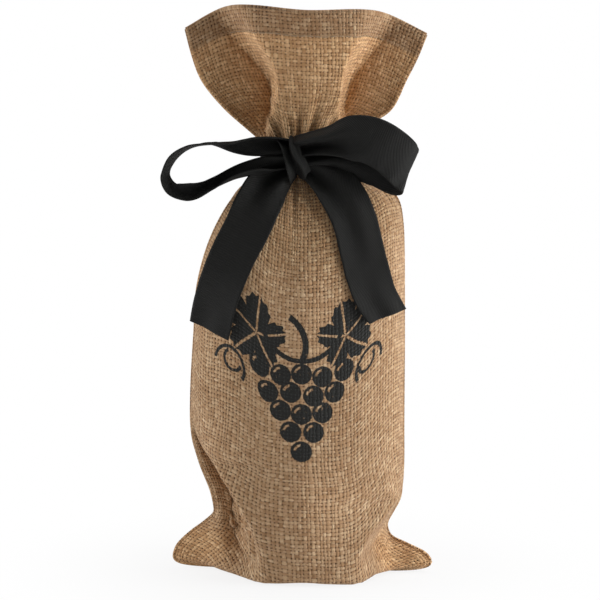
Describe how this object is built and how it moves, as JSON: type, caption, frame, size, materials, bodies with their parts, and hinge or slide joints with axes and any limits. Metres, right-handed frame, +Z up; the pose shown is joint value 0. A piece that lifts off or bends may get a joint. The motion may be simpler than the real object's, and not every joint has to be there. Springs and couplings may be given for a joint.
{
  "type": "wine gift bag",
  "caption": "Woven cloth gift bag for one wine bottle, gathered at the neck by a flat ribbon tied in a bow.",
  "frame": {"origin": "middle of the base, on the surface that the bag stands on", "axes": "+Z up, the front with the bow faces -Y, +X to the right seen from the front"},
  "size_m": [0.147, 0.0804, 0.311],
  "materials": {
    "burlap": "coarse plain weave, matte",
    "thread": "twisted sewing thread, matte",
    "ribbon": "black woven ribbon, low sheen"
  },
  "bodies": {
    "bag": {"front_panel": "burlap", "back_panel": "burlap", "front_hem": "burlap", "back_hem": "burlap", "left_side_seam": "burlap", "right_side_seam": "burlap", "bottom_seam": "burlap", "hem_stitching": "thread", "neck_wrap": "ribbon", "bow_knot": "ribbon"},
    "left_loop": {"left_loop": "ribbon"},
    "right_loop": {"right_loop": "ribbon"},
    "left_tail": {"left_tail": "ribbon"},
    "right_tail": {"right_tail": "ribbon"}
  },
  "joints": [
    {"name": "left_loop_flex", "type": "hinge", "parent": "bag", "child": "left_loop", "pos_m": [-0.0115, -0.0275, 0.2285], "axis": [0, 1, 0], "range_deg": [-10, 12], "stiffness_Nm_per_rad": 0.01},
    {"name": "right_loop_flex", "type": "hinge", "parent": "bag", "child": "right_loop", "pos_m": [0.006, -0.0295, 0.229], "axis": [0, 0, -1], "range_deg": [-4, 18], "stiffness_Nm_per_rad": 0.01},
    {"name": "left_tail_swing", "type": "hinge", "parent": "bag", "child": "left_tail", "pos_m": [-0.006, -0.03, 0.2155], "axis": [-1, 0, 0], "range_deg": [0, 45]},
    {"name": "right_tail_swing", "type": "hinge", "parent": "bag", "child": "right_tail", "pos_m": [0.006, -0.03, 0.2155], "axis": [-1, 0, 0], "range_deg": [0, 45]}
  ]
}
